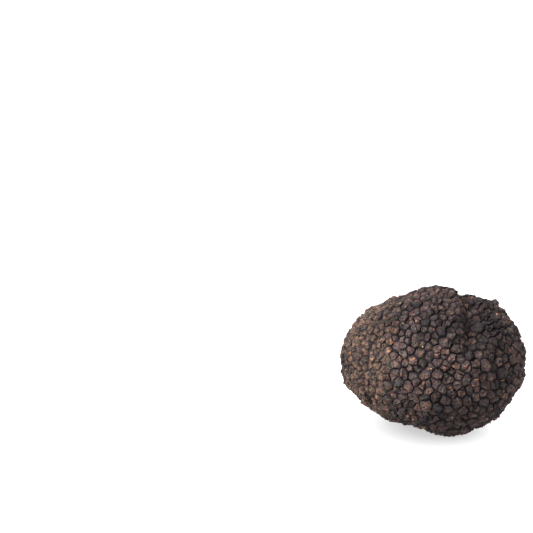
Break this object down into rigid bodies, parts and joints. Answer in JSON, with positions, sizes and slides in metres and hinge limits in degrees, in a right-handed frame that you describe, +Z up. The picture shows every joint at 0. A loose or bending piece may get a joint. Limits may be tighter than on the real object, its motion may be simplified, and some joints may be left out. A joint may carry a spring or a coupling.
{
  "type": "black truffle",
  "caption": "Whole black truffle: a firm, rounded, slightly lobed lump covered in blunt dark warts, lying on a small flat spot of its own skin; shaved or grated over food.",
  "frame": {"origin": "on the ground, under the middle of the truffle's bounding box", "axes": "+X along the truffle's long way, towards its blunter end; -Y towards the front that shows the furrow between its two upper lobes; +Z up from the ground it rests on"},
  "size_m": [0.0558, 0.0464, 0.0439],
  "materials": {
    "truffle_skin": "matt, dry, warty fungus skin, charcoal brown with near-black grooves and rust-brown wart tips"
  },
  "bodies": {
    "root": {"truffle": "truffle_skin"}
  },
  "joints": []
}
